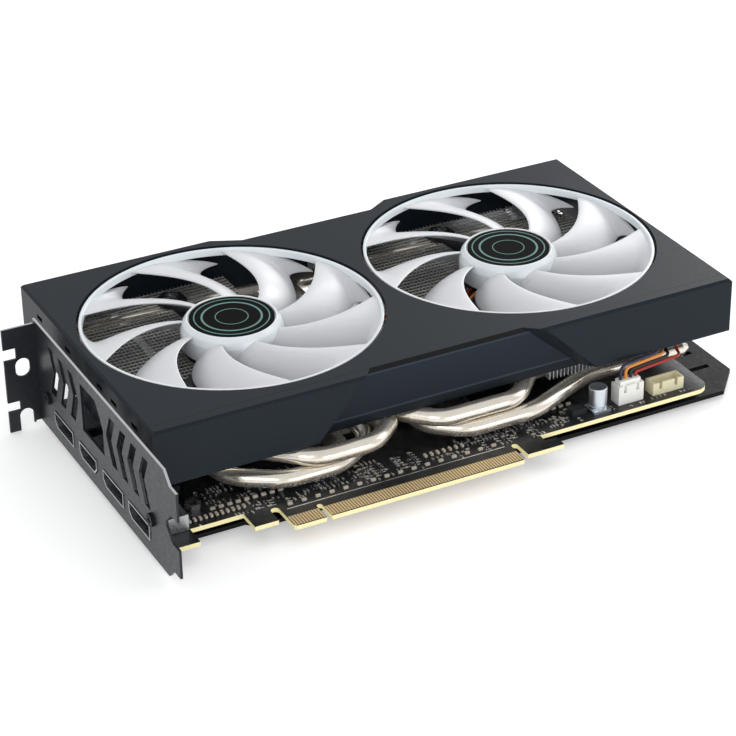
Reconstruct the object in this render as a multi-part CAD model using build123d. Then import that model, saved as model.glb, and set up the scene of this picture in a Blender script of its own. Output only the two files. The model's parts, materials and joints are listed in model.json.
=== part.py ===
"""Two-fan graphics card, as an assembly of separate parts, in millimetres.

Frame: +X from the bracket to the far end, +Y from the edge connector to the top edge,
+Z from the board towards the fans. The origin is at the foot of the edge connector, in the
middle of its key notch, on the board's component face.
"""
import os
from math import cos, radians, sin, tan
from build123d import *

os.makedirs("parts", exist_ok=True)

# ---------------------------------------------------------------- driving dimensions
BOARD_THICK = 1.57
BOARD_TOP_Y = 111.0
BOARD_END_X = 152.5
TONGUE_LEFT, TONGUE_RIGHT = -12.15, 72.15
CONTACT_PITCH, CONTACT_WIDTH, CONTACT_LENGTH = 1.0, 0.7, 5.6

BRACKET_X = -55.5                 # outer face of the bracket plate
BRACKET_THICK = 0.86
BRACKET_LENGTH = 120.02
FOOT_TIP_Y = -8.8
FOOT_WIDTH = 10.19
SLOT_PITCH = 20.32
FLANGE_REACH = 11.43

SHROUD_LEFT, SHROUD_RIGHT = -50.5, 165.5
SHROUD_FRONT, SHROUD_BACK = 20.0, 135.5
SHROUD_TOP, SHROUD_BOTTOM = 34.4, 14.4
SHROUD_SKIN = 1.4
WAIST_DEPTH_FRONT, WAIST_DEPTH_BACK = 4.5, 5.0

FAN_CENTRES = {"left": (4.3, 80.5), "right": (111.9, 80.5)}
FAN_RING_RADIUS = 51.4
FAN_HUB_RADIUS = 17.5
BLADE_COUNT = 9
FAN_GAP = 0.8                     # between the ring and the shroud's opening
FAN_FLOOR_Z = 23.6                # lowest point of the blades

PIPE_DIAMETER = 6.0
PIPE_BASE_Z = 6.0                 # pipes in the cold plate's grooves and below the fins
PIPE_LOW_Z = 4.9                  # lower front loops
PIPE_HIGH_Z = 11.05               # upper front loops
PIPE_TOP_Z = 18.4                 # runs let into the top of the fins
FIN_BOTTOM, FIN_TOP = 9.05, 21.4
FIN_PITCH, FIN_THICK = 1.45, 0.3
FIN_BACK_Y = 131.5
BACK_RUN_Y = 119.5                # pipe runs along the top of the fins

PIPE_BASE_X = (29.2, 35.8, 42.4, 49.0)

GPU_CENTRE = (39.1, 60.0)
BACKPLATE_TOP, BACKPLATE_BOTTOM = -4.2, -5.8
BACKPLATE_END_X = 170.0

PIPE_RADIUS = PIPE_DIAMETER / 2
TIP_LENGTH = 3.0
FLANGE_TOP_Y = FOOT_TIP_Y + BRACKET_LENGTH
OPENING_RADIUS = FAN_RING_RADIUS + FAN_GAP


# ---------------------------------------------------------------- small helpers
def block(x0, x1, y0, y1, z0, z1):
    """A box between two corners."""
    return Pos((x0 + x1) / 2, (y0 + y1) / 2, (z0 + z1) / 2) * Box(x1 - x0, y1 - y0, z1 - z0)


def disc(x, y, radius, z0, z1):
    """An upright cylinder between two heights."""
    return Pos(x, y, (z0 + z1) / 2) * Cylinder(radius, z1 - z0)


def prism(points, z0, z1):
    """A flat outline in XY, extruded from one height to another."""
    outline = Face(Wire.make_polygon([(x, y, z0) for x, y in points], close=True))
    return extrude(outline, amount=z1 - z0, dir=(0, 0, 1))


def side_prism(points, x0, x1):
    """An outline of (y, z) points, extruded along X."""
    outline = Face(Wire.make_polygon([(x0, y, z) for y, z in points], close=True))
    return extrude(outline, amount=x1 - x0, dir=(1, 0, 0))


def union(shapes):
    """All the shapes fused into one."""
    first, *rest = shapes
    return first.fuse(*rest) if rest else first


def cut(shape, tools):
    """The shape with every tool taken away in one step."""
    return shape.cut(*tools)


def save(node, *shapes):
    """Write the node as its own STEP file."""
    solids = [s for shape in shapes for s in shape.solids()]
    result = solids[0] if len(solids) == 1 else Compound(children=solids)
    export_step(result, f"parts/{node}.step")


def bend_radii(points, share=0.45, largest=60.0):
    """For each corner of a route, the arc that takes this share of its shorter run."""
    radii = []
    for before, corner, after in zip(points, points[1:], points[2:]):
        a, b = Vector(*corner) - Vector(*before), Vector(*after) - Vector(*corner)
        half_turn = radians(a.get_angle(b)) / 2
        radii.append(min(largest, share * min(a.length, b.length) / tan(half_turn)))
    return radii


def tube(points, radii, radius):
    """A round bar along straight runs joined by tangent arcs."""
    path = FilletPolyline(*points, radius=radii)
    start = Plane(origin=path @ 0, z_dir=path % 0)
    return sweep(start * Circle(radius), path=path)


def heat_pipe(points, radii):
    """A sealed pipe: a tube with a drawn-down tip at each end."""
    path = FilletPolyline(*points, radius=radii)
    body = tube(points, radii, PIPE_RADIUS)
    for place, outward in ((path @ 0, (path % 0) * -1), (path @ 1, path % 1)):
        tip = Plane(origin=place + outward * (TIP_LENGTH / 2), z_dir=outward)
        body = body.fuse(tip * Cone(PIPE_RADIUS, 1.1, TIP_LENGTH))
    return body


# ---------------------------------------------------------------- circuit board
KEY_HALF_WIDTH, KEY_DEPTH = 0.95, 8.2
HOOK_LEFT, HOOK_RIGHT = 74.4, 88.3
LOWER_EDGE_Y = 11.0
COOLER_HOLE_OFFSET = 26.6         # half the square of the cooler's four holes
HOLE_RADIUS = 1.6
BOARD_SCREW_HOLES = [(-36.0, 104.0), (97.0, 104.0), (146.0, 100.0), (146.0, 38.0), (-36.0, 26.0)]


def circuit_board():
    left = BRACKET_X + BRACKET_THICK + 0.3
    outline = [
        (left, 6.3), (-42.0, 6.3), (-42.0, 14.5), (-23.5, 14.5), (-23.5, 5.7), (-15.15, 5.7),
        (-15.15, 11.5), (TONGUE_LEFT, 11.5), (TONGUE_LEFT, 0.8), (TONGUE_LEFT + 0.8, 0.0),
        (TONGUE_RIGHT - 0.8, 0.0), (TONGUE_RIGHT, 0.8), (TONGUE_RIGHT, 9.2), (HOOK_LEFT, 9.2),
        (HOOK_LEFT, 2.3), (HOOK_RIGHT, 2.3), (HOOK_RIGHT, 7.6), (84.0, 7.6), (84.0, LOWER_EDGE_Y),
        (BOARD_END_X - 5.0, LOWER_EDGE_Y), (BOARD_END_X, LOWER_EDGE_Y + 5.0),
        (BOARD_END_X, BOARD_TOP_Y), (left, BOARD_TOP_Y)]
    board = prism(outline, -BOARD_THICK, 0)
    board = board.fuse(disc(BOARD_END_X - 5.0, LOWER_EDGE_Y + 5.0, 5.0, -BOARD_THICK, 0))
    low, high = -BOARD_THICK - 1, 1
    notch_x = (-15.15 + TONGUE_LEFT) / 2
    notch_radius = (TONGUE_LEFT + 15.15) / 2
    retention_x = (TONGUE_RIGHT + HOOK_LEFT) / 2
    retention_radius = (HOOK_LEFT - TONGUE_RIGHT) / 2
    tools = [disc(notch_x, 11.5, notch_radius, low, high),
             disc(retention_x, 9.2, retention_radius, low, high),
             block(-KEY_HALF_WIDTH, KEY_HALF_WIDTH, -1, KEY_DEPTH - KEY_HALF_WIDTH, low, high),
             disc(0, KEY_DEPTH - KEY_HALF_WIDTH, KEY_HALF_WIDTH, low, high)]
    for x, y in cooler_hole_centres() + BOARD_SCREW_HOLES:
        tools.append(disc(x, y, HOLE_RADIUS, low, high))
    return cut(board, tools)


def cooler_hole_centres():
    x, y = GPU_CENTRE
    reach = COOLER_HOLE_OFFSET
    return [(x - reach, y - reach), (x + reach, y - reach),
            (x - reach, y + reach), (x + reach, y + reach)]


def edge_contacts():
    """Gilt contacts on both faces: 11 short of the key and 71 beyond it, less the key's gap."""
    thick = 0.06
    pads = []
    places = [-11.5 + CONTACT_PITCH * i for i in range(11)]
    places += [1.5 + CONTACT_PITCH * i for i in range(71)]
    for x in places:
        for z0, z1 in ((0.0, thick), (-BOARD_THICK - thick, -BOARD_THICK)):
            pads.append(block(x - CONTACT_WIDTH / 2, x + CONTACT_WIDTH / 2, 0.5, 0.5 + CONTACT_LENGTH,
                              z0, z1))
    return pads


# ---------------------------------------------------------------- bracket and ports
PORT_CENTRES = {"displayport": [22.5, 44.0, 87.0], "hdmi": [65.5]}
DISPLAYPORT_SIZE, HDMI_SIZE = (16.9, 5.7), (15.0, 5.6)
PORT_CENTRE_Z = 3.0
PORT_DEPTH = 13.0
PORT_SKIN = 0.45
BRACKET_SCREWS = [(100.6, 8.2), (12.0, 9.2)]


def port_outline(width, height, y, slope_one_side):
    """Corner points of a display socket, seen from outside: both keep one or two cut corners."""
    half, top, low = width / 2, PORT_CENTRE_Z + height / 2, PORT_CENTRE_Z - height / 2
    bevel = 2.0
    points = [(y - half, top), (y + half, top), (y + half, low + bevel), (y + half - bevel, low)]
    if slope_one_side:
        return points + [(y - half, low)]
    return points + [(y - half + bevel, low), (y - half, low + bevel)]


def port_shell(width, height, y, slope_one_side):
    front, back = BRACKET_X - 0.3, BRACKET_X + PORT_DEPTH
    outer = side_prism(port_outline(width, height, y, slope_one_side), front, back)
    inner = side_prism(port_outline(width - 2 * PORT_SKIN, height - 2 * PORT_SKIN, y, slope_one_side),
                       front - 1, back - 1.2)
    return outer.cut(inner)


def port_tongue(width, y):
    """The contact blade that stands in the middle of a socket."""
    back = BRACKET_X + PORT_DEPTH - 1.2
    return block(BRACKET_X + 2.2, back, y - width / 2 + 2.6, y + width / 2 - 2.6,
                 PORT_CENTRE_Z + 0.1, PORT_CENTRE_Z + 1.5)


def vent_slot(y, lean, width=4.4):
    """A bent slash: it leans out to its middle height and back again."""
    low, middle, high = 12.0, 21.5, 29.6
    half = width / 2
    points = [(y - half, low), (y + half, low), (y + half + lean, middle), (y + half, high),
              (y - half, high), (y - half + lean, middle)]
    return side_prism(points, BRACKET_X - 1, BRACKET_X + 2)


def bracket():
    inner_x = BRACKET_X + BRACKET_THICK
    low_z, high_z = -5.0, 33.7
    low_foot, high_foot = 4.2, 4.2 + SLOT_PITCH
    half = FOOT_WIDTH / 2
    plate = side_prism([
        (FLANGE_TOP_Y, low_z), (FLANGE_TOP_Y, high_z), (0.2, high_z),
        (-3.9, high_foot + half), (FOOT_TIP_Y, high_foot + half), (FOOT_TIP_Y, high_foot - half),
        (-3.9, high_foot - half), (0.4, high_foot - half - 4.2), (0.4, low_foot + half + 4.2),
        (-3.9, low_foot + half), (FOOT_TIP_Y, low_foot + half), (FOOT_TIP_Y, low_foot - half),
        (-3.9, low_foot - half), (0.2, low_z)], BRACKET_X, inner_x)
    flange_low, flange_high = -7.4, 32.2
    out_x = BRACKET_X - FLANGE_REACH
    flange = block(out_x, inner_x, FLANGE_TOP_Y - BRACKET_THICK, FLANGE_TOP_Y, flange_low, flange_high)
    y0, y1 = FLANGE_TOP_Y - 2, FLANGE_TOP_Y + 1
    flange_cuts = [
        block(out_x - 1, out_x + 4.4, y0, y1, 20.3, 24.5),
        block(out_x - 1, out_x + 4.4, y0, y1, 0.6, 4.1),
        block(-63.0, -58.0, y0, y1, flange_low - 1, -1.9),
        block(-57.4, inner_x + 1, y0, y1, flange_low - 1, low_z),
        block(-58.0, -56.4, y0, y1, flange_low - 1, -5.6)]
    slot_x, slot_z = -60.5, 16.6
    round_tools = [Pos(-60.5, FLANGE_TOP_Y - 0.5, -1.9) * Rot(90, 0, 0) * Cylinder(2.5, 4)]
    for dz in (-0.9, 0.9):
        round_tools.append(Pos(slot_x, FLANGE_TOP_Y - 0.5, slot_z + dz) * Rot(90, 0, 0) * Cylinder(2.6, 4))
    round_tools.append(block(slot_x - 2.6, slot_x + 2.6, y0, y1, slot_z - 0.9, slot_z + 0.9))
    tools = [vent_slot(y, 4.0) for y in (14.6, 23.8, 32.6, 41.4)]
    tools += [vent_slot(y, -4.0) for y in (77.6, 86.4, 95.2)]
    tools.append(side_prism([(50.2, 12.0), (68.8, 12.0), (68.8, 29.6), (55.6, 29.6), (50.2, 21.5)],
                            BRACKET_X - 1, BRACKET_X + 2))
    clearance = 0.4
    for kind, size in (("displayport", DISPLAYPORT_SIZE), ("hdmi", HDMI_SIZE)):
        for y in PORT_CENTRES[kind]:
            tools.append(side_prism(port_outline(size[0] + clearance, size[1] + clearance, y,
                                                 kind == "displayport"), BRACKET_X - 1, BRACKET_X + 2))
    for y, z in BRACKET_SCREWS:
        tools.append(Pos(BRACKET_X, y, z) * Rot(0, 90, 0) * Cylinder(1.3, 6))
    body = plate.fuse(flange)
    for y, z in BRACKET_SCREWS:
        body = body.fuse(block(inner_x, inner_x + 1.6, y - 3, y + 3, z - 3, z + 3))
    return cut(body, flange_cuts + round_tools + tools)


def bracket_screw(y, z):
    head = Pos(BRACKET_X - 0.55, y, z) * Rot(0, 90, 0) * Cylinder(2.3, 1.1)
    shank = Pos(BRACKET_X + 1.9, y, z) * Rot(0, 90, 0) * Cylinder(1.28, 3.8)
    drive = Pos(BRACKET_X - 0.9, y, z) * (Box(0.6, 2.6, 0.6) + Box(0.6, 0.6, 2.6))
    return head.fuse(shank).cut(drive)


# ---------------------------------------------------------------- parts on the board
def board_part(x, y, width, depth, height, lift=0.02):
    return block(x - width / 2, x + width / 2, y - depth / 2, y + depth / 2, lift, lift + height)


MEMORY_PLACES = [(9.0, 68.0), (9.0, 52.0), (69.0, 68.0), (69.0, 52.0), (30.0, 92.0), (48.0, 92.0)]
MEMORY_SIZE = (14.0, 12.0, 1.1)
INDUCTOR_PLACES = [(96.0, 46.0 + 10.0 * i) for i in range(5)] + [(-16.0, 66.0), (-16.0, 78.0)]
MOSFET_PLACES = [(106.0, 46.0 + 10.0 * i) for i in range(5)] + [(-25.5, 66.0), (-25.5, 78.0)]
POLYMER_PLACES = [(119.0, 46.0 + 9.5 * i) for i in range(6)] + [(-4.0, 64.0), (-4.0, 73.0), (-4.0, 82.0)]


def ceramic_capacitors():
    """Rows of small chip capacitors and resistors near the edge connector and round the processor."""
    parts = []
    for i in range(16):
        parts.append(board_part(-8.0 + 5.0 * i, 12.4, 1.6, 0.8, 0.8))
    for i in range(11):
        parts.append(board_part(-40.6 + 1.9 * i, 18.2, 0.8, 1.6, 0.8))
    for i in range(9):
        parts.append(board_part(-31.0 + 3.0 * i, 21.6, 1.6, 0.8, 0.8))
    for i in range(7):
        parts.append(board_part(44.0 + 2.3 * i, 17.5, 0.8, 1.6, 0.8))
    for i in range(6):
        parts.append(board_part(88.0 + 3.0 * i, 24.0, 1.6, 0.8, 0.8))
    for i in range(8):
        parts.append(board_part(57.8, 46.0 + 4.0 * i, 0.8, 1.6, 0.8))
        parts.append(board_part(20.4, 46.0 + 4.0 * i, 0.8, 1.6, 0.8))
    return parts


def can_capacitor(x, y, radius, height):
    foot = board_part(x, y, 2 * radius + 0.3, 2 * radius + 0.3, 1.0)
    can = disc(x, y, radius, 1.02, height)
    groove = disc(x, y, radius + 1, 2.2, 2.7).cut(disc(x, y, radius - 0.25, 2.1, 2.8))
    can = fillet(can.edges().sort_by(Axis.Z)[-1], 0.4).cut(groove)
    return foot.fuse(can)


def polymer_capacitor(x, y):
    return can_capacitor(x, y, 3.1, 5.6)


def header_box(x, y, width, depth, height, wall=0.7, slots=2):
    """An open-topped pin header with key slots in its front wall."""
    body = board_part(x, y, width, depth, height)
    inner = block(x - width / 2 + wall, x + width / 2 - wall, y - depth / 2 + wall, y + depth / 2 - wall,
                  1.6, height + 1)
    tools = [inner]
    for i in range(slots):
        sx = x + (i - (slots - 1) / 2) * width / 2
        tools.append(block(sx - 0.6, sx + 0.6, y - depth / 2 - 1, y - depth / 2 + wall, height - 2.6,
                           height + 1))
    return cut(body, tools)


FAN_HEADER = (122.5, 17.4, 9.9, 5.0, 7.0)
SPARE_HEADER = (137.6, 17.4, 12.4, 5.0, 4.6)
POWER_SOCKET_X = 128.0
SOCKET_HEIGHT = 9.6
POWER_PITCH = 4.2


def power_socket():
    """Eight square cells in two rows, opening towards +Y, with a latch ledge on top."""
    width, height, depth = 4 * POWER_PITCH + 1.8, SOCKET_HEIGHT, 12.8
    y1 = BOARD_TOP_Y + 1.6
    x0 = POWER_SOCKET_X - width / 2
    body = block(x0, x0 + width, y1 - depth, y1, 0.05, 0.05 + height)
    body = body.fuse(block(POWER_SOCKET_X - 2.2, POWER_SOCKET_X + 2.2, y1 - 6, y1 - 1.5, SOCKET_HEIGHT - 0.2,
                            SOCKET_HEIGHT + 0.8))
    tools = []
    for column in range(4):
        for row in range(2):
            cx = POWER_SOCKET_X + (column - 1.5) * POWER_PITCH
            cz = 0.05 + height / 2 + (row - 0.5) * POWER_PITCH
            tools.append(block(cx - 1.75, cx + 1.75, y1 - 9.5, y1 + 1, cz - 1.75, cz + 1.75))
    return cut(body, tools)


def power_pins():
    pins = []
    y1 = BOARD_TOP_Y + 1.6
    for column in range(4):
        for row in range(2):
            cx = POWER_SOCKET_X + (column - 1.5) * POWER_PITCH
            cz = 4.85 + (row - 0.5) * POWER_PITCH
            pins.append(block(cx - 0.55, cx + 0.55, y1 - 9.5, y1 - 2.5, cz - 0.55, cz + 0.55))
    return pins


SWITCHES = {"bios": -22.0, "led": -36.0}
SWITCH_Y = BOARD_TOP_Y - 2.2
SWITCH_TRAVEL = 4.0


def switch_body(x):
    body = block(x - 4.6, x + 4.6, SWITCH_Y - 1.9, SWITCH_Y + 1.9, 0.05, 4.0)
    slot = block(x - 3.4, x + 3.4, SWITCH_Y - 0.1, SWITCH_Y + 3.0, 1.4, 3.2)
    return body.cut(slot)


def switch_slider(x):
    """The slider rests at the low-X end of its slot and stands out of the board's top edge."""
    rest = x - SWITCH_TRAVEL / 2
    stem = block(rest - 0.9, rest + 0.9, SWITCH_Y, SWITCH_Y + 4.6, 1.55, 3.05)
    return stem


# ---------------------------------------------------------------- heat pipes, plate and fins
def pipe_1():
    """Lower front loop to the left, then back below the fins."""
    x, low, base = PIPE_BASE_X[0], PIPE_LOW_Z, PIPE_BASE_Z
    points = [(x, 90.0, base), (x, 43.0, base), (x, 29.5, low), (14.0, 19.4, low), (-6.0, 19.4, low),
              (-23.4, 31.0, low), (-23.4, 42.0, low), (-23.4, 62.0, base), (-23.4, 100.0, base)]
    return heat_pipe(points, [30.0, 10.0, 16.0, 15.0, 15.0, 30.0, 30.0])


def pipe_2():
    """Upper front loop to the left, then out along the top of the fins at the back."""
    x, base, high, top = PIPE_BASE_X[1], PIPE_BASE_Z, PIPE_HIGH_Z, PIPE_TOP_Z
    points = [(-42.0, 33.4, high), (-12.5, 33.4, high), (4.5, 17.4, high), (26.0, 17.4, high),
              (x, 26.5, high), (x, 37.0, base), (x, 86.0, base), (x, 98.0, top),
              (x, BACK_RUN_Y, top), (-42.0, BACK_RUN_Y, top)]
    return heat_pipe(points, [9.0, 14.0, 12.0, 5.0, 9.0, 6.0, 6.0, 7.0])


def pipe_3():
    """Upper front loop to the right, then out along the top of the fins at the back."""
    x, base, high, top = PIPE_BASE_X[2], PIPE_BASE_Z, PIPE_HIGH_Z, PIPE_TOP_Z
    points = [(154.0, 33.4, high), (93.0, 33.4, high), (80.5, 20.0, high), (52.0, 20.0, high),
              (x, 29.0, high), (x, 42.0, base), (x, 86.0, base), (x, 98.0, top),
              (x, BACK_RUN_Y, top), (154.0, BACK_RUN_Y, top)]
    return heat_pipe(points, [9.0, 12.0, 10.0, 6.0, 9.0, 6.0, 6.0, 7.0])


def pipe_4():
    """Lower front loop to the right, with a long straight run under the front wall."""
    x, low, base = PIPE_BASE_X[3], PIPE_LOW_Z, PIPE_BASE_Z
    points = [(x, 90.0, base), (x, 43.0, base), (x, 29.0, low), (61.0, 19.2, low), (87.0, 19.2, low),
              (113.0, 30.0, base), (152.0, 30.0, base)]
    return heat_pipe(points, [30.0, 12.0, 12.0, 26.0, 26.0])


def fin(y0, y1, holes, notches, bottom=FIN_BOTTOM):
    """One thin plate across the card, with round holes for pipes and notches in its top edge."""
    hole_radius = PIPE_RADIUS + 0.06
    outline = Plane.YZ * (Pos((y0 + y1) / 2, (bottom + FIN_TOP) / 2)
                          * Rectangle(y1 - y0, FIN_TOP - bottom))
    for y, z in holes:
        outline -= Plane.YZ * (Pos(y, z) * Circle(hole_radius))
    for y, z in notches:
        outline -= Plane.YZ * (Pos(y, z) * Circle(hole_radius))
        outline -= Plane.YZ * (Pos(y, (z + FIN_TOP + 1) / 2)
                               * Rectangle(2 * hole_radius, FIN_TOP + 1 - z))
    return extrude(outline, amount=FIN_THICK, dir=(1, 0, 0))


def fin_row(x0, x1, shape):
    count = int((x1 - x0) / FIN_PITCH) + 1
    return [Pos(x0 + FIN_PITCH * i, 0, 0) * shape for i in range(count)]


def fins(side):
    back_notch = [(BACK_RUN_Y, PIPE_TOP_Z)]
    front_hole = [(33.4, PIPE_HIGH_Z)]
    long_fin = fin(28.0, FIN_BACK_Y, front_hole, back_notch)
    if side == "left":
        return (fin_row(-45.0, -22.0, long_fin)
                + fin_row(-20.3, 24.0, fin(38.2, FIN_BACK_Y, [], back_notch)))
    waist_fin = fin(38.2, SHROUD_BACK - WAIST_DEPTH_BACK - SHROUD_SKIN - 0.5, [], back_notch)
    raised_fin = fin(28.0, FIN_BACK_Y, front_hole, back_notch, bottom=SOCKET_HEIGHT + 1.4)
    clear_of_socket = POWER_SOCKET_X - 11.0, POWER_SOCKET_X + 11.0
    return (fin_row(56.0, 95.9, waist_fin) + fin_row(97.8, clear_of_socket[0], long_fin)
            + fin_row(clear_of_socket[0] + 0.8, clear_of_socket[1], raised_fin)
            + fin_row(clear_of_socket[1] + 1.6, 158.0, long_fin))


def centre_fins():
    return fin_row(26.6, 53.6, fin(44.0, 82.0, [], []))


def cold_plate():
    x, y = GPU_CENTRE
    top = PIPE_BASE_Z - 1.0
    plate = block(x - 16.5, x + 16.5, y - 20, y + 20, 2.3, top)
    tools = [disc(cx, cy, 2.2, 2, 6) for cx, cy in cooler_hole_centres()]
    for groove_x in PIPE_BASE_X:
        tools.append(Pos(groove_x, y, PIPE_BASE_Z) * Rot(90, 0, 0) * Cylinder(PIPE_RADIUS + 0.04, 80))
    lug = 5.5
    lugs = [block(cx - lug, cx + lug, cy - lug, cy + lug, 3.0, 4.4) for cx, cy in cooler_hole_centres()]
    arms = [block(cx - 3.0, cx + 3.0, y - 20, y + 20, 3.0, 4.4) for cx in (x - 19.0, x + 19.0)]
    arms += [block(x - 30.0, x - 16.0, cy - 4.0, cy + 4.0, 3.0, 4.4) for cy in (y - 22.0, y + 22.0)]
    arms += [block(x + 16.0, x + 30.0, cy - 4.0, cy + 4.0, 3.0, 4.4) for cy in (y - 22.0, y + 22.0)]
    return cut(plate.fuse(*lugs, *arms), tools)


def vrm_plate():
    """Aluminium bar that stands on the power stages and carries the fins above it."""
    return block(91.5, 110.5, 41.5, 90.5, 4.9, FIN_BOTTOM - 0.05)


# ---------------------------------------------------------------- fans
BLADE_SECTIONS = [                # radius, leading angle, chord angle, leading height, drop, camber
    (15.5, 33.5, 33.0, 31.6, 7.4, 1.2),
    (26.0, 44.5, 31.0, 32.4, 8.0, 1.6),
    (38.0, 58.0, 28.5, 32.9, 7.2, 1.6),
    (53.0, 71.5, 36.0, 33.2, 4.8, 1.0)]
BLADE_THICK = 1.1


def blade_section(radius, lead, chord, top, drop, camber):
    """A thin arched strip, standing square to the radius at the middle of its chord."""
    middle = radians(lead - chord / 2)
    half = radius * radians(chord / 2)
    plane = Plane(origin=(radius * cos(middle), radius * sin(middle), 0),
                  x_dir=(-sin(middle), cos(middle), 0), z_dir=(cos(middle), sin(middle), 0))
    arch, edge = top - drop * 0.42 + camber, BLADE_THICK * 0.6
    high = [(half, top), (0.1 * half, arch), (-half, top - drop)]
    low = [(-half, top - drop - edge), (0.1 * half, arch - BLADE_THICK), (half, top - edge)]
    with BuildSketch(plane) as strip:
        with BuildLine():
            upper = Spline(*high)
            Line(upper @ 1, low[0])
            lower = Spline(*low)
            Line(lower @ 1, upper @ 0)
        make_face()
    return strip.sketch.faces()[0]


def fan(cx, cy):
    """Hub, blades and outer ring in one moulding, about the Z axis, moved to its centre."""
    blade = loft([blade_section(*row) for row in BLADE_SECTIONS])
    blade = (blade & disc(0, 0, FAN_RING_RADIUS - 0.5, 10, 50)).solids()[0]
    blade = (blade - disc(0, 0, FAN_HUB_RADIUS - 0.8, 10, 40)).solids()[0]
    ring = disc(0, 0, FAN_RING_RADIUS, 31.2, 34.0).cut(disc(0, 0, FAN_RING_RADIUS - 1.1, 31, 35))
    hub = disc(0, 0, FAN_HUB_RADIUS, FAN_FLOOR_Z, 33.4)
    hub = chamfer(hub.edges().sort_by(Axis.Z)[-1], 1.0)
    hub = cut(hub, [disc(0, 0, 15.9, FAN_FLOOR_Z - 1, 31.6), disc(0, 0, 14.5, 32.6, 34)])
    blades = [Rot(0, 0, 360 / BLADE_COUNT * i) * blade for i in range(BLADE_COUNT)]
    whole = hub.fuse(ring, *blades)
    return Pos(cx, cy, 0) * whole


def rotor_cup(cx, cy):
    """Steel cup pressed into the hub, which carries the ring magnet and the shaft."""
    cup = disc(cx, cy, 15.9, 25.0, 31.6).cut(disc(cx, cy, 15.2, 24, 30.9))
    return cup.fuse(disc(cx, cy, 2.2, 29.4, 31.0)).cut(disc(cx, cy, 1.0, 29, 32))


def magnet_ring(cx, cy):
    return disc(cx, cy, 15.2, 25.2, 30.6).cut(disc(cx, cy, 13.4, 25, 31))


def shaft(cx, cy):
    return disc(cx, cy, 1.0, 24.4, 31.4)


def bearing(cx, cy):
    """Sleeve bearing in the base's post, a running fit on the shaft."""
    return disc(cx, cy, 2.6, 23.8, 29.0).cut(disc(cx, cy, 1.03, 23, 30))


def stator(cx, cy):
    """Nine-pole laminated core with its windings, round the bearing post."""
    core = disc(cx, cy, 6.0, 25.6, 29.4)
    poles = []
    for i in range(9):
        arm = Rot(0, 0, 40 * i) * block(5, 11.6, -0.9, 0.9, 25.6, 29.4)
        shoe = Rot(0, 0, 40 * i) * block(11.0, 12.6, -3.2, 3.2, 25.6, 29.4)
        coil = Rot(0, 0, 40 * i) * block(6.6, 10.6, -1.7, 1.7, 24.9, 30.1)
        poles += [Pos(cx, cy, 0) * s for s in (arm, shoe, coil)]
    return core.fuse(*poles).cut(disc(cx, cy, 3.9, 24, 31))


BASE_ARM_ANGLES = (97.5, 217.5, 337.5)
BASE_BOSS_RADIUS = 40.6
BASE_RADIUS = 16.6
BASE_BOTTOM, BASE_TOP = FIN_TOP + 0.1, FIN_TOP + 1.7


def boss_centres(cx, cy):
    return [(cx + BASE_BOSS_RADIUS * cos(radians(a)), cy + BASE_BOSS_RADIUS * sin(radians(a)))
            for a in BASE_ARM_ANGLES]


def fan_base(cx, cy):
    """Motor base: a disc with a bearing post and three arms, each with a screw boss."""
    body = disc(0, 0, BASE_RADIUS, BASE_BOTTOM, BASE_TOP)
    post = disc(0, 0, 3.85, BASE_TOP, 29.6)
    arms = []
    for a in BASE_ARM_ANGLES:
        arms.append(Rot(0, 0, a) * block(15, BASE_BOSS_RADIUS, -2.6, 2.6, BASE_BOTTOM, BASE_TOP))
        boss = RegularPolygon(radius=5.6, side_count=6)
        boss = extrude(boss, amount=BASE_TOP - BASE_BOTTOM)
        arms.append(Rot(0, 0, a) * Pos(BASE_BOSS_RADIUS, 0, BASE_BOTTOM) * boss)
    tools = [disc(0, 0, 2.6, 23.8, 30), disc(0, 0, 1.2, 22.6, 24)]
    for a in BASE_ARM_ANGLES:
        tools.append(Rot(0, 0, a) * disc(BASE_BOSS_RADIUS, 0, 1.35, 20, 26))
    return Pos(cx, cy, 0) * cut(body.fuse(post, *arms), tools)


def base_screws():
    screws = []
    for cx, cy in FAN_CENTRES.values():
        for x, y in boss_centres(cx, cy):
            head = disc(x, y, 2.5, BASE_TOP, BASE_TOP + 1.3)
            drive = union([Pos(x, y, BASE_TOP + 1.1) * Box(2.8, 0.6, 0.8),
                           Pos(x, y, BASE_TOP + 1.1) * Box(0.6, 2.8, 0.8)])
            screws.append(head.fuse(disc(x, y, 1.33, BASE_BOTTOM + 0.1, BASE_TOP)).cut(drive))
    return screws


def hub_cap(cx, cy):
    return disc(cx, cy, 14.45, 32.6, 33.3)


# ---------------------------------------------------------------- shroud
WAIST_BACK = (31.2, 82.4)         # where the back waist is at full depth
SHROUD_SCREW_YS, SHROUD_SCREW_Z = (44.0, 112.0), 20.0


def shroud_outline():
    """The plan of the shroud: a rectangle with a waist between the fans on the back side."""
    back = SHROUD_BACK - WAIST_DEPTH_BACK
    return [(SHROUD_LEFT, SHROUD_FRONT), (SHROUD_RIGHT, SHROUD_FRONT), (SHROUD_RIGHT, SHROUD_BACK),
            (WAIST_BACK[1] + 8, SHROUD_BACK), (WAIST_BACK[1], back), (WAIST_BACK[0], back),
            (WAIST_BACK[0] - 10.5, SHROUD_BACK), (SHROUD_LEFT, SHROUD_BACK)]


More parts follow.
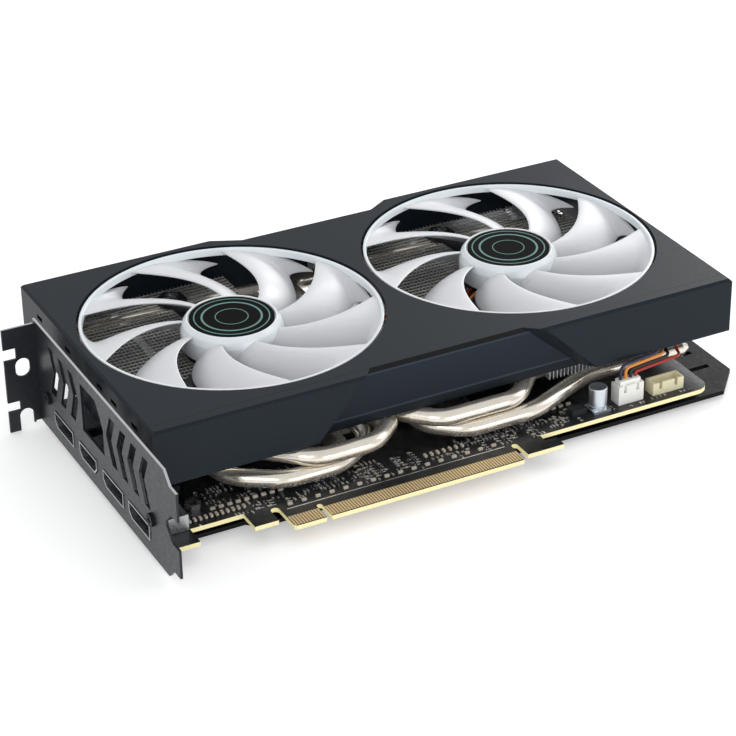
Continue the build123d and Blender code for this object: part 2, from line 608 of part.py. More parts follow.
def pocket(depth, grow):
    """Wedge cut from the front wall: wider at the bottom than at the top, with sloping ends."""
    top, low = SHROUD_TOP + 1, SHROUD_BOTTOM - 1
    y0, y1 = SHROUD_FRONT - 1, SHROUD_FRONT + depth
    left_top, right_top = 24.0 - grow, 90.5 + grow
    left_low, right_low = 5.0 - grow, 113.5 + grow
    front = [(left_top, y0, top), (right_top, y0, top), (right_low, y0, low), (left_low, y0, low)]
    back = [(left_top + 4.4, y1, top), (right_top - 7.0, y1, top), (right_low - 5.0, y1, low),
            (left_low + 4.4, y1, low)]
    faces = [Face(Wire.make_polygon(front, close=True)), Face(Wire.make_polygon(back, close=True))]
    for i in range(4):
        j = (i + 1) % 4
        faces.append(Face(Wire.make_polygon([front[i], front[j], back[j]], close=True)))
        faces.append(Face(Wire.make_polygon([front[i], back[j], back[i]], close=True)))
    return Solid(Shell(faces))


def shroud():
    outer = prism(shroud_outline(), SHROUD_BOTTOM, SHROUD_TOP)
    top_edges = outer.faces().sort_by(Axis.Z)[-1].edges()
    outer = chamfer(top_edges, 0.9)
    outer = outer.cut(pocket(WAIST_DEPTH_FRONT, 0.0))
    inner = prism(shrunk(shroud_outline(), SHROUD_SKIN), SHROUD_BOTTOM - 1, SHROUD_TOP - 2.0)
    inner = inner.cut(pocket(WAIST_DEPTH_FRONT + SHROUD_SKIN, SHROUD_SKIN))
    body = outer.cut(inner)
    tools = []
    for cx, cy in FAN_CENTRES.values():
        tools.append(disc(cx, cy, OPENING_RADIUS, SHROUD_TOP - 5, SHROUD_TOP + 1))
    for y in (35.0, 52.0, 64.0, 92.0, 118.0):
        tools.append(block(SHROUD_LEFT - 1, SHROUD_LEFT + 3, y - 2.4, y + 2.4, 28.4, 30.0))
    for y in SHROUD_SCREW_YS:
        tools.append(Pos(SHROUD_LEFT, y, SHROUD_SCREW_Z) * Rot(0, 90, 0) * Cylinder(1.25, 6))
    tools.append(block(POWER_SOCKET_X - 12, POWER_SOCKET_X + 12, SHROUD_BACK - 3, SHROUD_BACK + 1,
                       SHROUD_BOTTOM - 1, SHROUD_BOTTOM + 4.0))
    return cut(body, tools)


def shrunk(points, margin):
    """The outline moved inwards by the margin."""
    face = Face(Wire.make_polygon([(x, y, 0) for x, y in points], close=True))
    wire = face.outer_wire().offset_2d(-margin, kind=Kind.INTERSECTION)
    return [(v.X, v.Y) for v in ordered_vertices(wire)]


def ordered_vertices(wire):
    return [edge @ 0 for edge in wire.order_edges()]


def shroud_screws():
    screws = []
    for y in SHROUD_SCREW_YS:
        head = Pos(SHROUD_LEFT - 0.6, y, SHROUD_SCREW_Z) * Rot(0, 90, 0) * Cylinder(2.2, 1.2)
        shank = Pos(SHROUD_LEFT + 2.0, y, SHROUD_SCREW_Z) * Rot(0, 90, 0) * Cylinder(1.22, 4.0)
        drive = Pos(SHROUD_LEFT - 1.0, y, SHROUD_SCREW_Z) * (Box(0.6, 2.4, 0.6) + Box(0.6, 0.6, 2.4))
        screws.append(head.fuse(shank).cut(drive))
    return screws


# ---------------------------------------------------------------- back side
def backplate():
    """Thin plate behind the board, with the cooler's window and flow-through slots at its end."""
    left = BRACKET_X + BRACKET_THICK + 0.8
    front, back = 12.6, BOARD_TOP_Y - 0.6
    end = BACKPLATE_END_X
    outline = [(left, front + 4.0), (-22.0, front + 4.0), (-18.0, front), (end - 10.6, front),
               (end, front + 11.6), (end, back - 8.0), (end - 8.0, back), (left, back)]
    plate = prism(outline, BACKPLATE_BOTTOM, BACKPLATE_TOP)
    x, y = GPU_CENTRE
    window = COOLER_HOLE_OFFSET + 6.0
    low, high = BACKPLATE_BOTTOM - 1, 0
    tools = [block(x - window, x + window, y - window, y + window, low, high)]
    for i in range(7):
        slot = block(-4.2, 4.2, -1.1, 1.1, low, high)
        tools.append(Pos(160.5, 30.0 + 11.0 * i, 0) * slot)
    for i in range(6):
        tools.append(Pos(-36.0 + 5.0 * i, 62.0, 0) * Rot(0, 0, 60) * block(-9, 9, -1, 1, low, high))
        tools.append(Pos(98.0 + 5.0 * i, 62.0, 0) * Rot(0, 0, 60) * block(-9, 9, -1, 1, low, high))
    for hx, hy in BOARD_SCREW_HOLES:
        tools.append(disc(hx, hy, HOLE_RADIUS, low, high))
    posts = [disc(hx, hy, 3.0, BACKPLATE_TOP, -BOARD_THICK) for hx, hy in BOARD_SCREW_HOLES]
    return cut(plate.fuse(*posts), tools)


def backplate_screws():
    screws = []
    for x, y in BOARD_SCREW_HOLES:
        head = disc(x, y, 2.6, BACKPLATE_BOTTOM - 1.0, BACKPLATE_BOTTOM)
        shank = disc(x, y, 1.45, BACKPLATE_BOTTOM, 1.2)
        drive = union([Pos(x, y, BACKPLATE_BOTTOM - 1.0) * Box(3.0, 0.6, 0.8),
                       Pos(x, y, BACKPLATE_BOTTOM - 1.0) * Box(0.6, 3.0, 0.8)])
        screws.append(head.fuse(shank).cut(drive))
    return screws


def board_nuts():
    """Nuts that hold the backplate's screws on the component side."""
    nuts = []
    for x, y in BOARD_SCREW_HOLES:
        nut = extrude(RegularPolygon(radius=2.9, side_count=6), amount=1.8)
        nuts.append((Pos(x, y, 0.02) * nut).cut(disc(x, y, 1.5, -1, 3)))
    return nuts


def retention_plate():
    """Sprung X-shaped plate behind the processor, on four pads against the board."""
    x, y = GPU_CENTRE
    reach = COOLER_HOLE_OFFSET * 2 ** 0.5
    z0, z1 = -3.4, -2.0
    arms = [Pos(x, y, 0) * Rot(0, 0, a) * block(-reach, reach, -4.0, 4.0, z0, z1) for a in (45, 135)]
    ends = [disc(cx, cy, 4.6, z0, -BOARD_THICK - 0.02) for cx, cy in cooler_hole_centres()]
    body = arms[0].fuse(arms[1], disc(x, y, 11.0, z0, z1), *ends)
    holes = [disc(cx, cy, 1.7, z0 - 1, 0) for cx, cy in cooler_hole_centres()]
    return cut(body, holes + [disc(x, y, 6.0, z0 - 1, z1 + 1)])


def spring_screws():
    screws = []
    for x, y in cooler_hole_centres():
        head = disc(x, y, 3.2, -4.9, -3.4)
        drive = union([Pos(x, y, -4.9) * Box(3.6, 0.7, 0.9), Pos(x, y, -4.9) * Box(0.7, 3.6, 0.9)])
        screws.append(head.fuse(disc(x, y, 1.5, -3.4, 4.0)).cut(drive))
    return screws


# ---------------------------------------------------------------- leads
PLUG_TOP = 8.6


def fan_plug():
    x, y, width, depth, height = FAN_HEADER
    return block(x - width / 2 + 0.9, x + width / 2 - 0.9, y - depth / 2 + 0.9, y + depth / 2 - 0.9,
                 2.0, PLUG_TOP)


LEAD_RADIUS = 0.55
LEAD_TOP_Z = FIN_TOP + 0.1 + LEAD_RADIUS   # the leads lie on top of the fins
LEAD_SPACING = 1.3
ARM_TO_LEAD = 4.0                 # from an arm's centre line to the nearest lead beside it
LEADS = {                         # place on the plug, height under the wall, where it climbs
    "blue": (-3.0, 13.7, 137.5), "yellow": (-1.0, 12.5, 139.7),
    "black": (1.0, 11.3, 141.9), "red": (3.0, 10.1, 146.5)}


def beside_arm(fan, arm, side, radius, lane):
    """A point next to one of a fan base's arms, on the given side of it."""
    angle = radians(BASE_ARM_ANGLES[arm])
    off = side * (ARM_TO_LEAD + LEAD_SPACING * lane)
    if radius is None:
        radius = ((BASE_RADIUS + LEAD_RADIUS) ** 2 - off ** 2) ** 0.5
    cx, cy = FAN_CENTRES[fan]
    return (cx + radius * cos(angle) - off * sin(angle), cy + radius * sin(angle) + off * cos(angle),
            LEAD_TOP_Z)


def plug_lead(place, height, climb_x, lane):
    """From the plug under the front wall, up past the fins, over them and along an arm to a motor."""
    x, y = FAN_HEADER[0] + place, FAN_HEADER[1]
    points = [(x, y, PLUG_TOP), (x, y, height), (climb_x - 1.0, 20.0, height),
              (climb_x, 24.6, height + 0.2), (climb_x, 24.9, LEAD_TOP_Z),
              beside_arm("right", 2, -1, 29.0 - 0.8 * lane, lane), beside_arm("right", 2, -1, None, lane)]
    return tube(points, bend_radii(points, largest=8.0), LEAD_RADIUS)


def link_lead(lane):
    """Between the two motors, over the middle fins."""
    points = [beside_arm("left", 2, 1, None, lane), beside_arm("left", 2, 1, 27.0, lane),
              beside_arm("right", 1, -1, 27.0 - 0.5 * lane, lane), beside_arm("right", 1, -1, None, lane)]
    return tube(points, bend_radii(points, largest=8.0), LEAD_RADIUS)


def leads():
    """The fans' wires by colour: one from the plug and one between the motors for each."""
    wires = {}
    for order, (colour, (place, height, climb_x)) in enumerate(LEADS.items()):
        wires[colour] = [plug_lead(place, height, climb_x, 3 - order), link_lead(order)]
    return wires


# ---------------------------------------------------------------- build and write
save("pcb", circuit_board())
save("edge_contacts", *edge_contacts())
save("io_bracket", bracket())
save("bracket_screws", *[bracket_screw(y, z) for y, z in BRACKET_SCREWS])
save("port_shells", *[port_shell(*DISPLAYPORT_SIZE, y, True) for y in PORT_CENTRES["displayport"]],
     *[port_shell(*HDMI_SIZE, y, False) for y in PORT_CENTRES["hdmi"]])
save("port_tongues", *[port_tongue(DISPLAYPORT_SIZE[0], y) for y in PORT_CENTRES["displayport"]],
     *[port_tongue(HDMI_SIZE[0], y) for y in PORT_CENTRES["hdmi"]])

gx, gy = GPU_CENTRE
save("processor_substrate", board_part(gx, gy, 34.0, 34.0, 1.3))
save("processor_die", block(gx - 7.5, gx + 7.5, gy - 8.0, gy + 8.0, 1.34, 2.14))
save("thermal_paste", block(gx - 7.5, gx + 7.5, gy - 8.0, gy + 8.0, 2.16, 2.28))
save("memory_chips", *[board_part(x, y, *MEMORY_SIZE) for x, y in MEMORY_PLACES])
save("inductors", *[board_part(x, y, 7.6, 7.6, 4.0) for x, y in INDUCTOR_PLACES])
save("power_stages", *[board_part(x, y, 5.0, 6.0, 0.9) for x, y in MOSFET_PLACES])
save("polymer_capacitors", *[polymer_capacitor(x, y) for x, y in POLYMER_PLACES])
save("tall_capacitor", can_capacitor(110.1, 16.6, 3.15, 9.0))
save("control_chips", board_part(-38.0, 40.0, 5.2, 5.3, 1.6), board_part(74.0, 30.0, 7.0, 7.0, 0.9),
     board_part(102.6, 17.6, 5.6, 3.4, 2.2))
save("chip_capacitors", *ceramic_capacitors())
save("fan_header", header_box(*FAN_HEADER))
save("spare_header", header_box(*SPARE_HEADER))
save("power_socket", power_socket())
save("power_pins", *power_pins())
for name, x in SWITCHES.items():
    save(f"{name}_switch_body", switch_body(x))
    save(f"{name}_switch_slider", switch_slider(x))

save("cold_plate", cold_plate())
for number, pipe in enumerate((pipe_1(), pipe_2(), pipe_3(), pipe_4()), 1):
    save(f"heat_pipe_{number}", pipe)
save("fin_stack_left", *fins("left"))
save("fin_stack_right", *fins("right"))
save("fin_stack_centre", *centre_fins())
save("power_stage_plate", vrm_plate())

save("fan_bases", *[fan_base(*centre) for centre in FAN_CENTRES.values()])
save("stators", *[stator(*centre) for centre in FAN_CENTRES.values()])
save("bearings", *[bearing(*centre) for centre in FAN_CENTRES.values()])
for side, (cx, cy) in FAN_CENTRES.items():
    save(f"shaft_{side}", shaft(cx, cy))
    save(f"rotor_cup_{side}", rotor_cup(cx, cy))
    save(f"magnet_ring_{side}", magnet_ring(cx, cy))
    save(f"fan_{side}", fan(cx, cy))
    save(f"hub_cap_{side}", hub_cap(cx, cy))
save("fan_base_screws", *base_screws())

save("shroud", shroud())
save("shroud_screws", *shroud_screws())
save("backplate", backplate())
save("backplate_screws", *backplate_screws())
save("board_nuts", *board_nuts())
save("retention_plate", retention_plate())
save("spring_screws", *spring_screws())

save("fan_plug", fan_plug())
for colour, wires in leads().items():
    save(f"lead_{colour}", *wires)
print("nodes", len(os.listdir("parts")))
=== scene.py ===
# %% [markdown]
# # A two-fan graphics card
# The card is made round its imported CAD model: a board with its bracket, a finned cooler with four
# bent heat pipes, a thin dark shroud and two translucent fans. The CAD parts give every size and
# place. Here each gets the finish of the real thing. The fans, whose look depends on smooth
# curvature, are made again as surfaces, and the fins and the board get their fine detail.

# %% Load the frame
import json
import bpy
import numpy as np
from mathutils import Matrix, Vector


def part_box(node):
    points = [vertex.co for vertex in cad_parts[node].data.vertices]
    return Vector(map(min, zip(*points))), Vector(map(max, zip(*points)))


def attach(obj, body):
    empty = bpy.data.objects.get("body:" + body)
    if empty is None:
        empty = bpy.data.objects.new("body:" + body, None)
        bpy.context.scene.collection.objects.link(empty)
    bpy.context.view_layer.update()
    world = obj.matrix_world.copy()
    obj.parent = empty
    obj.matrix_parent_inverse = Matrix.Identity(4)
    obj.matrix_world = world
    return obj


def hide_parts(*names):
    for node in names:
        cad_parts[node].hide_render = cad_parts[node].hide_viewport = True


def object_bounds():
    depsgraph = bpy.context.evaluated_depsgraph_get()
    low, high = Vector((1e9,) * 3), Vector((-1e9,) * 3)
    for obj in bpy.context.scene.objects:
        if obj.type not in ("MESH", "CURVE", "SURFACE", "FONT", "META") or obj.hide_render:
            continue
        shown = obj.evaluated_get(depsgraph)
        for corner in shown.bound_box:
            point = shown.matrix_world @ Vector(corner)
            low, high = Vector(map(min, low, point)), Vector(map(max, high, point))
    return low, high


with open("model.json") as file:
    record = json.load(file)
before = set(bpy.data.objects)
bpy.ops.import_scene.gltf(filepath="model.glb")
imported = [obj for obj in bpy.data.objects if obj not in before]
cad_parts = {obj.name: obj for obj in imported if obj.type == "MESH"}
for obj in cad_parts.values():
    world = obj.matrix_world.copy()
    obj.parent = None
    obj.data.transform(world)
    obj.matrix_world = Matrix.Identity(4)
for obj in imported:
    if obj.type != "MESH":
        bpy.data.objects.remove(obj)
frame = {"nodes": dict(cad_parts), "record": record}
cad_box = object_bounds()
nodes = frame["nodes"]
MM = 0.001


# %% [markdown]
# ## Small helpers
# Colours are written as sRGB hex, as a paint chart gives them, and Blender's shaders want linear
# light, so one function turns one into the other. One more adds a shader node with its settings and
# its links, which keeps every material below short.

# %% Colour and node helpers
def linear(hex_colour):
    """sRGB hex to linear RGBA: c / 12.92 below 0.04045, else ((c + 0.055) / 1.055) ^ 2.4."""
    c = np.array([int(hex_colour[i:i + 2], 16) for i in (1, 3, 5)]) / 255
    c = np.where(c <= 0.04045, c / 12.92, ((c + 0.055) / 1.055) ** 2.4)
    return (*c.tolist(), 1.0)


def add(tree, kind, inputs=None, **settings):
    """Adds one node. Settings are its own properties, and inputs are values or other nodes' outputs."""
    made = tree.nodes.new(kind)
    for name, value in settings.items():
        setattr(made, name, value)
    for name, value in (inputs or {}).items():
        if isinstance(value, bpy.types.NodeSocket):
            tree.links.new(value, made.inputs[name])
        else:
            made.inputs[name].default_value = value
    return made


def new_finish(name, colour, roughness, **sockets):
    """A material with one Principled shader. Returns it with its tree, shader and Object coordinates."""
    material = bpy.data.materials.new(name)
    material.use_nodes = True
    tree = material.node_tree
    shader = tree.nodes["Principled BSDF"]
    shader.inputs["Base Color"].default_value = linear(colour)
    shader.inputs["Roughness"].default_value = roughness
    for socket, value in sockets.items():
        shader.inputs[socket.replace("_", " ")].default_value = value
    material.diffuse_color = linear(colour)
    place = add(tree, "ShaderNodeTexCoord").outputs["Object"]
    return material, tree, shader, place


def per_mm(size):
    """A noise scale, in repeats per metre, for a pattern of this size in millimetres."""
    return 1000 / size


def vary(tree, shader, place, size, colours, roughness, bump=0.0, stretch=(1, 1, 1), detail=4.0):
    """Noise of one size changes the colour between two hex values, the roughness, and the height."""
    spread = add(tree, "ShaderNodeMapping", {"Vector": place, "Scale": stretch}).outputs[0]
    noise = add(tree, "ShaderNodeTexNoise", {"Vector": spread, "Scale": per_mm(size), "Detail": detail})
    shade = add(tree, "ShaderNodeMix", {"Factor": noise.outputs["Fac"], 6: linear(colours[0]),
                                        7: linear(colours[1])}, data_type="RGBA")
    gloss = add(tree, "ShaderNodeMapRange", {"Value": noise.outputs["Fac"], "From Min": 0.3,
                                             "From Max": 0.7, "To Min": roughness[0],
                                             "To Max": roughness[1]})
    tree.links.new(shade.outputs[2], shader.inputs["Base Color"])
    tree.links.new(gloss.outputs[0], shader.inputs["Roughness"])
    if bump:
        raised = add(tree, "ShaderNodeBump", {"Height": noise.outputs["Fac"], "Distance": bump * MM,
                                              "Strength": 1.0})
        tree.links.new(raised.outputs[0], shader.inputs["Normal"])
    return shade


# %% [markdown]
# ## Moulded and painted finishes
# The shroud is ABS with a fine spark-eroded texture, moulded in a dark slate blue. The backplate and
# bracket are sheet metal with a black powder coat, which is a little orange-peeled. Plastic and paint
# differ in their roughness and in the size of that texture more than in their colour.

# %% Shroud, backplate and bracket
PANEL_Y, PANEL_LOW_Z, PANEL_TOP_Z = 24.5, 14.4, 34.4


def shroud_abs():
    """Spark-eroded ABS: a satin sheen that is broken by a grain of a few tenths of a millimetre.

    On the recessed panel between the fans, colour bands by height paint light and shade: a black band
    along its top is the painted shadow of a groove, with a painted highlight on the edge below it, and
    a lighter line above its lower edge is the painted highlight of a crease, with painted shade below
    it. Between them the panel is painted slowly lighter upwards. The bands are found by height on the
    faces that lie in the panel's plane.
    """
    material, tree, shader, place = new_finish("slate_abs", "#171f27", 0.4, Specular_IOR_Level=0.16)
    shade = vary(tree, shader, place, 0.9, ("#141b22", "#1a232c"), (0.38, 0.46), bump=0.012, detail=6.0)
    split = add(tree, "ShaderNodeSeparateXYZ", {"Vector": place})
    panel = add(tree, "ShaderNodeMath", {0: split.outputs["Y"], 1: PANEL_Y * MM, 2: 0.2 * MM},
                operation="COMPARE")
    height = add(tree, "ShaderNodeMapRange", {"Value": split.outputs["Z"],
                                              "From Min": PANEL_LOW_Z * MM, "From Max": PANEL_TOP_Z * MM})
    # These colour bands are painted light and shade: painted shade below a crease, the crease's painted
    # highlight, a slow painted lightening upwards, an edge's painted highlight and a groove's painted
    # shadow at the top.
    painted_panel_shading = add(tree, "ShaderNodeValToRGB", {"Fac": height.outputs[0]})
    stops = painted_panel_shading.color_ramp.elements
    painted_shade_below_crease = linear("#10171e")
    stops[0].position, stops[0].color = 0.0, painted_shade_below_crease
    stops[1].position, stops[1].color = 0.15, painted_shade_below_crease
    for position, colour in ((0.165, "#2c3642"), (0.18, "#2c3642"), (0.2, "#151d26"), (0.86, "#1a232d"),
                             (0.875, "#2c3844"), (0.895, "#2c3844"), (0.905, "#020304"),
                             (1.0, "#020304")):
        stops.new(position).color = linear(colour)
    # On the panel's faces the painted shading replaces the grain colour.
    both = add(tree, "ShaderNodeMix", {"Factor": panel.outputs[0], 6: shade.outputs[2],
                                       7: painted_panel_shading.outputs[0]}, data_type="RGBA")
    tree.links.new(both.outputs[2], shader.inputs["Base Color"])
    return material


def powder_coat(name, dark, light):
    """Powder coat on sheet metal, with the shallow ripple called orange peel."""
    material, tree, shader, place = new_finish(name, dark, 0.45, Specular_IOR_Level=0.12)
    vary(tree, shader, place, 1.6, (dark, light), (0.40, 0.5), bump=0.03, detail=3.0)
    return material


def bracket_coat():
    """The same coat on the bracket. Its upward top edge gets a light bare-metal finish, partly the
    sheared edge's bare metal and partly a painted highlight along that edge.
    """
    material, tree, shader, place = new_finish("bracket_coat", "#1e2125", 0.36, Specular_IOR_Level=0.3)
    shade = vary(tree, shader, place, 1.4, ("#191c20", "#25292e"), (0.30, 0.44), bump=0.02)
    normal = add(tree, "ShaderNodeTexCoord").outputs["Normal"]
    up = add(tree, "ShaderNodeSeparateXYZ", {"Vector": normal}).outputs["Z"]
    height = add(tree, "ShaderNodeSeparateXYZ", {"Vector": place}).outputs["Z"]
    # Upward faces high on the bracket get a light bare-metal colour: partly bare sheared metal, partly a
    # painted highlight along the top edge.
    facing = add(tree, "ShaderNodeMath", {0: up, 1: 0.6}, operation="GREATER_THAN").outputs[0]
    high = add(tree, "ShaderNodeMath", {0: height, 1: 0.028}, operation="GREATER_THAN").outputs[0]
    bare = add(tree, "ShaderNodeMath", {0: facing, 1: high}, operation="MULTIPLY").outputs[0]
    coat = add(tree, "ShaderNodeMix", {"Factor": bare, 6: shade.outputs[2], 7: linear("#c4c6c8")},
               data_type="RGBA")
    tree.links.new(coat.outputs[2], shader.inputs["Base Color"])
    tree.links.new(bare, shader.inputs["Metallic"])
    return material


finishes = {
    "shroud": shroud_abs(),
    "backplate": powder_coat("backplate_coat", "#060708", "#0b0c0e"),
    "bracket": bracket_coat(),
    "screw_black": powder_coat("black_oxide", "#141517", "#202225")}
print("finishes so far", sorted(finishes))


# %% [markdown]
# ## Board
# A circuit board is a glass-fibre laminate. Its faces are covered by a black solder mask, through
# which the copper traces show as faint raised lines, and its cut edge shows the bare laminate, pale
# yellow. The shader finds the edge by the surface's own normal, so one material does both.

# %% Circuit board
def board_laminate():
    material, tree, shader, place = new_finish("board_laminate", "#101214", 0.35)
    traces = add(tree, "ShaderNodeTexVoronoi", {"Vector": place, "Scale": per_mm(3.2)},
                 distance="CHEBYCHEV", feature="F1")
    line = add(tree, "ShaderNodeMath", {0: traces.outputs["Distance"], 1: 9.0}, operation="MULTIPLY")
    wave = add(tree, "ShaderNodeMath", {0: line.outputs[0], 1: 1.0}, operation="PINGPONG")
    band = add(tree, "ShaderNodeMapRange", {"Value": wave.outputs[0], "From Min": 0.45,
                                            "From Max": 0.62})
    mask = add(tree, "ShaderNodeMix", {"Factor": band.outputs[0], 6: linear("#0b0d0e"),
                                       7: linear("#1d2123")}, data_type="RGBA")
    normal = add(tree, "ShaderNodeTexCoord").outputs["Normal"]
    up = add(tree, "ShaderNodeSeparateXYZ", {"Vector": normal}).outputs["Z"]
    flat = add(tree, "ShaderNodeMath", {0: up}, operation="ABSOLUTE").outputs[0]
    edge = add(tree, "ShaderNodeMath", {0: flat, 1: 0.5}, operation="LESS_THAN").outputs[0]
    fibre = add(tree, "ShaderNodeTexNoise", {"Vector": place, "Scale": per_mm(0.5)})
    cut_edge = add(tree, "ShaderNodeMix", {"Factor": fibre.outputs["Fac"], 6: linear("#e9dfa0"),
                                           7: linear("#fbf2c6")}, data_type="RGBA")
    both = add(tree, "ShaderNodeMix", {"Factor": edge, 6: mask.outputs[2], 7: cut_edge.outputs[2]},
               data_type="RGBA")
    tree.links.new(both.outputs[2], shader.inputs["Base Color"])
    gloss = add(tree, "ShaderNodeMapRange", {"Value": edge, "To Min": 0.32, "To Max": 0.7})
    tree.links.new(gloss.outputs[0], shader.inputs["Roughness"])
    raised = add(tree, "ShaderNodeBump", {"Height": band.outputs[0], "Distance": 0.035 * MM})
    tree.links.new(raised.outputs[0], shader.inputs["Normal"])
    return material


def moulded(name, colours, roughness, size=0.8, bump=0.01, **sockets):
    """A moulded or pressed finish with a fine grain of the given size in millimetres."""
    material, tree, shader, place = new_finish(name, colours[0], roughness[0], **sockets)
    vary(tree, shader, place, size, colours, roughness, bump=bump)
    return material


finishes.update({
    "board": board_laminate(),
    "black_plastic": moulded("black_nylon", ("#0e0f11", "#191b1e"), (0.40, 0.55)),
    "header_white": moulded("natural_nylon", ("#e9e6dd", "#f6f4ee"), (0.35, 0.48),
                            Subsurface_Weight=0.1),
    "header_cream": moulded("cream_nylon", ("#d9cfa6", "#ece4c4"), (0.35, 0.48),
                            Subsurface_Weight=0.1),
    "chip_epoxy": moulded("black_epoxy", ("#15171a", "#23262a"), (0.42, 0.6), size=0.3, bump=0.006),
    "ferrite": moulded("grey_ferrite", ("#2a2c2f", "#44474b"), (0.5, 0.7), size=0.4, bump=0.02),
    "substrate": moulded("green_substrate", ("#1f3a24", "#2b4d30"), (0.3, 0.4)),
    "silicon": moulded("polished_silicon", ("#2a2d33", "#343840"), (0.08, 0.14), bump=0.0),
    "paste": moulded("grey_paste", ("#8d8f91", "#a4a6a8"), (0.6, 0.8), bump=0.03),
    "ceramic_part": moulded("tan_ceramic", ("#a3937f", "#d8d3ca"), (0.3, 0.45), size=1.1)})
print("finishes so far", len(finishes))


# %% [markdown]
# ## Metals
# Metals differ by how their surface was made. The pipes are bright nickel plate on drawn copper, so
# they mirror the light with a slightly warm tint. The fins are rolled sheet, with streaks along the
# roll. Gold fingers are plated over nickel and polished.

# %% Metals
def metal(name, colours, roughness, size=0.6, stretch=(1, 1, 1), bump=0.0, shine=1.0):
    """A bare or plated metal. Stretch makes the grain into the streaks of rolling or brushing.

    A satin plating scatters part of the light as paint does, so its shine is below one.
    """
    material, tree, shader, place = new_finish(name, colours[0], roughness[0], Metallic=shine)
    vary(tree, shader, place, size, colours, roughness, bump=bump, stretch=stretch)
    return material


finishes.update({
    "plated_pipe": metal("bright_nickel_pipe", ("#ddd5c8", "#efe9de"), (0.16, 0.26), size=5.0,
                         shine=0.85),
    "plated_copper": metal("nickel_on_copper", ("#cfc6b8", "#e2dacd"), (0.25, 0.4)),
    "plate_aluminium": metal("milled_aluminium", ("#b9bbbd", "#cfd1d3"), (0.3, 0.45), size=0.4,
                             stretch=(1, 12, 1)),
    "fin_aluminium": metal("rolled_fin_sheet", ("#b4b8bc", "#d8dbde"), (0.28, 0.42), size=0.5,
                           stretch=(1, 0.1, 1), shine=0.8),
    "fin_lips": metal("folded_fin_lips", ("#b8b3a8", "#d6d1c6"), (0.45, 0.6), size=0.5, shine=0.3),
    "contact_gold": metal("plated_gold", ("#f0cf92", "#fbe4b8"), (0.4, 0.5), size=1.4, shine=0.45),
    "screw_steel": metal("nickel_screw", ("#b5b6b9", "#d0d1d3"), (0.22, 0.36)),
    "spring_steel": metal("zinc_steel", ("#8c8f93", "#a9acb0"), (0.3, 0.45)),
    "port_steel": metal("nickel_shell", ("#a6a8ab", "#c6c8ca"), (0.24, 0.4)),
    "can_aluminium": metal("drawn_can", ("#c3ccd6", "#e2e8ee"), (0.28, 0.42), stretch=(1, 1, 0.1)),
    "bearing_bronze": metal("sintered_bronze", ("#8a6234", "#a97c48"), (0.4, 0.55)),
    "stator_copper": metal("enamelled_copper", ("#8b4a24", "#b86f3c"), (0.3, 0.45), size=0.3,
                           stretch=(1, 1, 8))})
print("finishes so far", len(finishes))


# %% [markdown]
# ## Wires and the fans' plastic
# The leads have PVC insulation, which is soft and slightly glossy. The fans are moulded in frosted
# polycarbonate: white, and letting some light through, so that a blade over another looks denser.

# %% Insulation and frosted plastic
for colour, pair in {"yellow": ("#c9761f", "#dd9337"), "red": ("#8f1f15", "#a92c1e"),
                     "black": ("#0c0e0e", "#151918"), "blue": ("#10142e", "#1a2044")}.items():
    finishes[f"lead_{colour}_insulation"] = moulded(f"pvc_{colour}", pair, (0.3, 0.4), bump=0.0)


def frosted_polycarbonate():
    """Frosted, so rough; white pigment scatters the light, and a part of it goes through."""
    material, tree, shader, place = new_finish(
        "frosted_polycarbonate", "#dadde2", 0.5, IOR=1.4, Transmission_Weight=0.3,
        Specular_IOR_Level=0.3)
    vary(tree, shader, place, 6.0, ("#d6d9de", "#dfe1e5"), (0.46, 0.56), bump=0.0, detail=2.0)
    return material


finishes["frosted_plastic"] = frosted_polycarbonate()
finishes["hub_disc"] = moulded("gloss_black_foil", ("#030404", "#050606"), (0.5, 0.6), bump=0.0,
                               Specular_IOR_Level=0.04)
finishes["polished_plastic"] = moulded("polished_polycarbonate", ("#e8edf1", "#f6f8fa"), (0.14, 0.22),
                                       size=8.0, bump=0.0, Subsurface_Weight=0.1)
finishes["disc_print"] = moulded("teal_print", ("#4f7f78", "#6c9a92"), (0.4, 0.5), bump=0.0)

slots = {part["node"]: part["material_slot"] for part in frame["record"]["subparts"]}
for name, node in nodes.items():
    node.data.materials.clear()
    node.data.materials.append(finishes[slots[name]])
print("every CAD node has its finish:", len(slots))


# %% [markdown]
# ## Surfaces by formula
# A piece is a grid of points worked out by numpy in whole arrays, with quads between neighbours.
# Where the grid comes back on itself, as round a ring, the last column joins the first. An open end
# is closed by one many-sided face, so every piece is a closed shell.

# %% Mesh helpers
def grid_faces(rows, columns, wrap_rows=False, wrap_columns=True):
    """Quads of a grid of points, row by row. Wrapping joins the last row or column to the first."""
    i, j = np.meshgrid(np.arange(rows if wrap_rows else rows - 1),
                       np.arange(columns if wrap_columns else columns - 1), indexing="ij")
    below, beside = (i + 1) % rows, (j + 1) % columns
    quads = np.stack([i * columns + j, i * columns + beside, below * columns + beside,
                      below * columns + j], axis=-1)
    return quads.reshape(-1, 4).tolist()


def make_piece(name, points, faces, finish, body, sharp=35.0):
    """A smooth-shaded mesh, sharp only where two faces meet at more than the given angle."""
    mesh = bpy.data.meshes.new(name)
    mesh.from_pydata(np.asarray(points, float).reshape(-1, 3).tolist(), [], faces)
    mesh.validate()
    mesh.shade_smooth()
    mesh.set_sharp_from_angle(angle=np.radians(sharp))
    mesh.materials.append(finishes[finish])
    piece = bpy.data.objects.new(name, mesh)
    bpy.context.scene.collection.objects.link(piece)
    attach(piece, body)
    print(name, len(mesh.vertices), "points", len(mesh.polygons), "faces")
    return piece


def turned(profile, centre, steps=128):
    """A closed profile of (radius, height) points turned about a vertical axis through centre."""
    profile = np.asarray(profile, float)
    around = np.linspace(0, 2 * np.pi, steps, endpoint=False)
    x = centre[0] + np.outer(profile[:, 0], np.cos(around))
    y = centre[1] + np.outer(profile[:, 0], np.sin(around))
    z = np.repeat(profile[:, 1:2], steps, axis=1)
    return np.stack([x, y, z], axis=-1)


